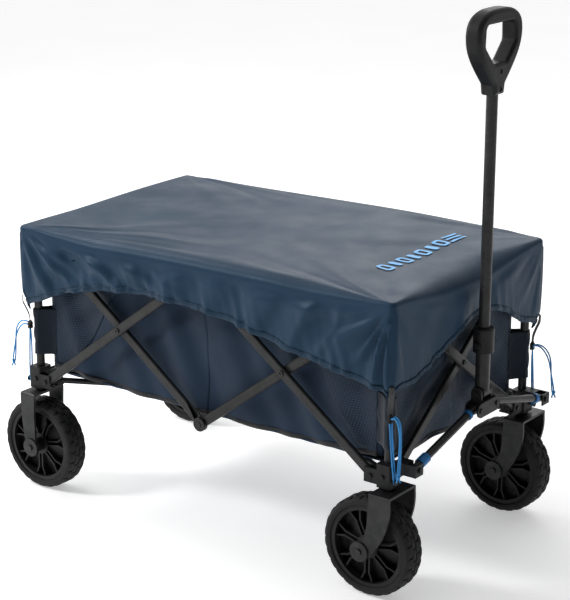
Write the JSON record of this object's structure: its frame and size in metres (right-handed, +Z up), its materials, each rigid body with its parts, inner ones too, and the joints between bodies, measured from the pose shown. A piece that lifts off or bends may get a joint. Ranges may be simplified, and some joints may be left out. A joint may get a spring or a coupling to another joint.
{
  "type": "folding camp wagon",
  "caption": "Folding fabric wagon with scissor sides and ends, swivel front casters, fixed rear wheels, upright pole handle and a fitted cover held by corner cords.",
  "frame": {"origin": "on the ground, under the middle of the whole wagon's box without its cords", "axes": "+Z up, +X forward to the handle end, +Y to the wagon's left"},
  "size_m": [1.0165, 0.5698, 1.045],
  "materials": {
    "tube": "satin dark grey paint on tube",
    "bracket": "matt black moulded plastic",
    "fork": "satin dark grey powder coat",
    "tyre": "matt moulded tread",
    "rim": "moulded black plastic",
    "grip": "soft-touch rubber",
    "blue_trim": "blue moulded plastic",
    "basket_fabric": "navy woven polyester",
    "cover_fabric": "coated slate-blue woven polyester",
    "webbing": "grey polyester webbing",
    "cord": "braided blue elastic cord"
  },
  "bodies": {
    "root": {"rear_right_bracket": "bracket", "rear_right_lower_post": "tube", "rear_right_fork": "fork", "basket_walls": "basket_fabric", "basket_floor": "basket_fabric"},
    "front_right_post": {"front_right_bracket": "bracket", "front_right_lower_post": "tube"},
    "front_left_post": {"front_left_bracket": "bracket", "front_left_lower_post": "tube"},
    "rear_left_post": {"rear_left_bracket": "bracket", "rear_left_lower_post": "tube", "rear_left_fork": "fork"},
    "front_right_upper_post": {"front_right_upper_post": "tube"},
    "front_right_wheel": {"front_right_tyre": "tyre", "front_right_rim": "rim"},
    "front_right_floor_strut": {"front_right_floor_strut": "tube"},
    "front_left_upper_post": {"front_left_upper_post": "tube"},
    "front_left_wheel": {"front_left_tyre": "tyre", "front_left_rim": "rim"},
    "front_left_floor_strut": {"front_left_floor_strut": "tube"},
    "rear_right_upper_post": {"rear_right_upper_post": "tube"},
    "rear_right_wheel": {"rear_right_tyre": "tyre", "rear_right_rim": "rim"},
    "rear_right_floor_strut": {"rear_right_floor_strut": "tube"},
    "rear_left_upper_post": {"rear_left_upper_post": "tube"},
    "rear_left_wheel": {"rear_left_tyre": "tyre", "rear_left_rim": "rim"},
    "rear_left_floor_strut": {"rear_left_floor_strut": "tube"},
    "front_right_caster": {"front_right_fork": "fork"},
    "front_left_caster": {"front_left_fork": "fork"},
    "right_front_outer_bar": {"right_front_outer_bar": "tube"},
    "right_front_inner_bar": {"right_front_inner_bar": "tube"},
    "right_rear_outer_bar": {"right_rear_outer_bar": "tube"},
    "right_rear_inner_bar": {"right_rear_inner_bar": "tube"},
    "left_front_outer_bar": {"left_front_outer_bar": "tube"},
    "left_front_inner_bar": {"left_front_inner_bar": "tube"},
    "left_rear_outer_bar": {"left_rear_outer_bar": "tube"},
    "left_rear_inner_bar": {"left_rear_inner_bar": "tube"},
    "front_outer_bar": {"front_outer_bar": "tube"},
    "front_inner_bar": {"front_inner_bar": "tube"},
    "rear_outer_bar": {"rear_outer_bar": "tube"},
    "rear_inner_bar": {"rear_inner_bar": "tube"},
    "front_right_rail": {"front_right_rail": "tube", "front_right_rail_rings": "blue_trim"},
    "front_left_rail": {"front_left_rail": "tube", "front_left_rail_rings": "blue_trim"},
    "centre_bracket": {"centre_bracket": "bracket"},
    "handle_lower": {"handle_lower_tube": "tube", "handle_collar": "bracket"},
    "handle_button": {"handle_button": "bracket"},
    "handle_upper": {"handle_upper_tube": "tube", "handle_yoke": "bracket", "handle_grip": "grip"},
    "cover": {"cover": "cover_fabric", "cover_straps": "webbing", "cord_locks": "bracket", "front_right_cord": "cord", "front_left_cord": "cord", "rear_right_cord": "cord", "rear_left_cord": "cord"}
  },
  "joints": [
    {"name": "fold", "type": "hinge", "parent": "root", "child": "right_rear_outer_bar", "pos_m": [-0.3905, -0.2465, 0.235], "axis": [0, -1, 0], "range_deg": [0, 42.81], "deforming": ["basket_walls", "basket_floor"]},
    {"name": "right_rear_crossing", "type": "hinge", "parent": "right_rear_outer_bar", "child": "right_rear_inner_bar", "pos_m": [-0.1895, -0.2465, 0.385], "axis": [0, -1, 0], "range_deg": [-85.63, 0]},
    {"name": "right_middle_hinge", "type": "hinge", "parent": "right_rear_inner_bar", "child": "right_front_inner_bar", "pos_m": [0.0115, -0.2465, 0.235], "axis": [0, -1, 0], "range_deg": [0, 85.63]},
    {"name": "right_front_crossing", "type": "hinge", "parent": "right_front_inner_bar", "child": "right_front_outer_bar", "pos_m": [0.2125, -0.2465, 0.385], "axis": [0, -1, 0], "range_deg": [-85.63, 0]},
    {"name": "rear_right_upper_hinge", "type": "hinge", "parent": "right_rear_inner_bar", "child": "rear_right_upper_post", "pos_m": [-0.3905, -0.2369, 0.535], "axis": [0, -1, 0], "range_deg": [0, 42.81]},
    {"name": "front_right_upper_hinge", "type": "hinge", "parent": "right_front_inner_bar", "child": "front_right_upper_post", "pos_m": [0.4135, -0.2369, 0.535], "axis": [0, -1, 0], "range_deg": [-42.81, 0]},
    {"name": "front_right_lower_hinge", "type": "hinge", "parent": "right_front_outer_bar", "child": "front_right_post", "pos_m": [0.4135, -0.2465, 0.235], "axis": [0, -1, 0], "range_deg": [0, 42.81]},
    {"name": "front_inner_bar_hinge", "type": "hinge", "parent": "front_right_post", "child": "front_inner_bar", "pos_m": [0.437, -0.201, 0.235], "axis": [1, 0, 0], "range_deg": [0, 42.81]},
    {"name": "front_crossing", "type": "hinge", "parent": "front_inner_bar", "child": "front_outer_bar", "pos_m": [0.4453, 0, 0.385], "axis": [1, 0, 0], "range_deg": [-85.63, 0]},
    {"name": "front_left_lower_hinge", "type": "hinge", "parent": "front_outer_bar", "child": "front_left_post", "pos_m": [0.4453, 0.201, 0.235], "axis": [1, 0, 0], "range_deg": [0, 42.81]},
    {"name": "front_left_upper_hinge", "type": "hinge", "parent": "front_inner_bar", "child": "front_left_upper_post", "pos_m": [0.437, 0.201, 0.535], "axis": [1, 0, 0], "range_deg": [-42.81, 0]},
    {"name": "rear_inner_bar_hinge", "type": "hinge", "parent": "root", "child": "rear_inner_bar", "pos_m": [-0.414, -0.201, 0.235], "axis": [1, 0, 0], "range_deg": [0, 42.81]},
    {"name": "rear_crossing", "type": "hinge", "parent": "rear_inner_bar", "child": "rear_outer_bar", "pos_m": [-0.4223, 0, 0.385], "axis": [1, 0, 0], "range_deg": [-85.63, 0]},
    {"name": "rear_left_lower_hinge", "type": "hinge", "parent": "rear_outer_bar", "child": "rear_left_post", "pos_m": [-0.4223, 0.201, 0.235], "axis": [1, 0, 0], "range_deg": [0, 42.81]},
    {"name": "rear_left_upper_hinge", "type": "hinge", "parent": "rear_inner_bar", "child": "rear_left_upper_post", "pos_m": [-0.414, 0.201, 0.535], "axis": [1, 0, 0], "range_deg": [-42.81, 0]},
    {"name": "left_rear_outer_bar_hinge", "type": "hinge", "parent": "rear_left_post", "child": "left_rear_outer_bar", "pos_m": [-0.3905, 0.2465, 0.235], "axis": [0, -1, 0], "range_deg": [0, 42.81]},
    {"name": "left_rear_crossing", "type": "hinge", "parent": "left_rear_outer_bar", "child": "left_rear_inner_bar", "pos_m": [-0.1895, 0.2465, 0.385], "axis": [0, -1, 0], "range_deg": [-85.63, 0]},
    {"name": "left_middle_hinge", "type": "hinge", "parent": "left_rear_inner_bar", "child": "left_front_inner_bar", "pos_m": [0.0115, 0.2465, 0.235], "axis": [0, -1, 0], "range_deg": [0, 85.63]},
    {"name": "left_front_crossing", "type": "hinge", "parent": "left_front_inner_bar", "child": "left_front_outer_bar", "pos_m": [0.2125, 0.2465, 0.385], "axis": [0, -1, 0], "range_deg": [-85.63, 0]},
    {"name": "front_right_rail_hinge", "type": "hinge", "parent": "front_right_post", "child": "front_right_rail", "pos_m": [0.4885, -0.225, 0.257], "axis": [1, 0, 0], "range_deg": [0, 63.2]},
    {"name": "centre_bracket_hinge", "type": "hinge", "parent": "front_right_rail", "child": "centre_bracket", "pos_m": [0.4885, -0.028, 0.31], "axis": [1, 0, 0], "range_deg": [-63.2, 0]},
    {"name": "front_left_rail_hinge", "type": "hinge", "parent": "front_left_post", "child": "front_left_rail", "pos_m": [0.4885, 0.225, 0.257], "axis": [1, 0, 0], "range_deg": [-63.2, 0]},
    {"name": "front_right_floor_strut_hinge", "type": "hinge", "parent": "front_right_post", "child": "front_right_floor_strut", "pos_m": [0.4175, -0.211, 0.227], "axis": [0.4611, 0.8873, 0], "range_deg": [0, 85.63]},
    {"name": "front_left_floor_strut_hinge", "type": "hinge", "parent": "front_left_post", "child": "front_left_floor_strut", "pos_m": [0.4175, 0.211, 0.227], "axis": [-0.4611, 0.8873, 0], "range_deg": [0, 85.63]},
    {"name": "rear_right_floor_strut_hinge", "type": "hinge", "parent": "root", "child": "rear_right_floor_strut", "pos_m": [-0.3945, -0.211, 0.227], "axis": [0.4611, -0.8873, 0], "range_deg": [0, 85.63]},
    {"name": "rear_left_floor_strut_hinge", "type": "hinge", "parent": "rear_left_post", "child": "rear_left_floor_strut", "pos_m": [-0.3945, 0.211, 0.227], "axis": [-0.4611, -0.8873, 0], "range_deg": [0, 85.63]},
    {"name": "cover_lift", "type": "slide", "parent": "front_right_post", "child": "cover", "axis": [0, 0, 1], "range_m": [0, 0.43], "deforming": ["front_right_cord", "front_left_cord", "rear_right_cord", "rear_left_cord"]},
    {"name": "front_right_swivel", "type": "hinge", "parent": "front_right_post", "child": "front_right_caster", "pos_m": [0.4415, -0.235, 0.212], "axis": [0, 0, 1], "continuous": true},
    {"name": "front_right_wheel_spin", "type": "hinge", "parent": "front_right_caster", "child": "front_right_wheel", "pos_m": [0.4095, -0.235, 0.095], "axis": [0, 1, 0], "continuous": true},
    {"name": "front_left_swivel", "type": "hinge", "parent": "front_left_post", "child": "front_left_caster", "pos_m": [0.4415, 0.235, 0.212], "axis": [0, 0, 1], "continuous": true},
    {"name": "front_left_wheel_spin", "type": "hinge", "parent": "front_left_caster", "child": "front_left_wheel", "pos_m": [0.4095, 0.235, 0.095], "axis": [0, 1, 0], "continuous": true},
    {"name": "rear_right_wheel_spin", "type": "hinge", "parent": "root", "child": "rear_right_wheel", "pos_m": [-0.4135, -0.235, 0.095], "axis": [0, 1, 0], "continuous": true},
    {"name": "rear_left_wheel_spin", "type": "hinge", "parent": "rear_left_post", "child": "rear_left_wheel", "pos_m": [-0.4135, 0.235, 0.095], "axis": [0, 1, 0], "continuous": true},
    {"name": "handle_tilt", "type": "hinge", "parent": "centre_bracket", "child": "handle_lower", "pos_m": [0.4885, 0, 0.338], "axis": [0, 1, 0], "range_deg": [0, 75]},
    {"name": "handle_slide", "type": "slide", "parent": "handle_lower", "child": "handle_upper", "axis": [0, 0, 1], "range_m": [-0.058, 0]},
    {"name": "handle_button_press", "type": "slide", "parent": "handle_lower", "child": "handle_button", "axis": [0, 1, 0], "range_m": [0, 0.0025], "stiffness_N_per_m": 400, "springref_m": -0.001}
  ],
  "couplings": [
    {"joint": "right_rear_crossing", "follows": "fold", "ratio": -2},
    {"joint": "right_middle_hinge", "follows": "fold", "ratio": 2},
    {"joint": "right_front_crossing", "follows": "fold", "ratio": -2},
    {"joint": "rear_right_upper_hinge", "follows": "fold", "ratio": 1},
    {"joint": "front_right_upper_hinge", "follows": "fold", "ratio": -1},
    {"joint": "front_right_lower_hinge", "follows": "fold", "ratio": 1},
    {"joint": "front_inner_bar_hinge", "follows": "fold", "ratio": 1},
    {"joint": "front_crossing", "follows": "fold", "ratio": -2},
    {"joint": "front_left_lower_hinge", "follows": "fold", "ratio": 1},
    {"joint": "front_left_upper_hinge", "follows": "fold", "ratio": -1},
    {"joint": "rear_inner_bar_hinge", "follows": "fold", "ratio": 1},
    {"joint": "rear_crossing", "follows": "fold", "ratio": -2},
    {"joint": "rear_left_lower_hinge", "follows": "fold", "ratio": 1},
    {"joint": "rear_left_upper_hinge", "follows": "fold", "ratio": -1},
    {"joint": "left_rear_outer_bar_hinge", "follows": "fold", "ratio": 1},
    {"joint": "left_rear_crossing", "follows": "fold", "ratio": -2},
    {"joint": "left_middle_hinge", "follows": "fold", "ratio": 2},
    {"joint": "left_front_crossing", "follows": "fold", "ratio": -2},
    {"joint": "front_right_rail_hinge", "follows": "fold", "ratio": 1.4762},
    {"joint": "centre_bracket_hinge", "follows": "fold", "ratio": -1.4762},
    {"joint": "front_left_rail_hinge", "follows": "fold", "ratio": -1.4762},
    {"joint": "front_right_floor_strut_hinge", "follows": "fold", "ratio": 2},
    {"joint": "front_left_floor_strut_hinge", "follows": "fold", "ratio": 2},
    {"joint": "rear_right_floor_strut_hinge", "follows": "fold", "ratio": 2},
    {"joint": "rear_left_floor_strut_hinge", "follows": "fold", "ratio": 2},
    {"joint": "cover_lift", "follows": "fold", "m_per_rad": 0.57544}
  ]
}
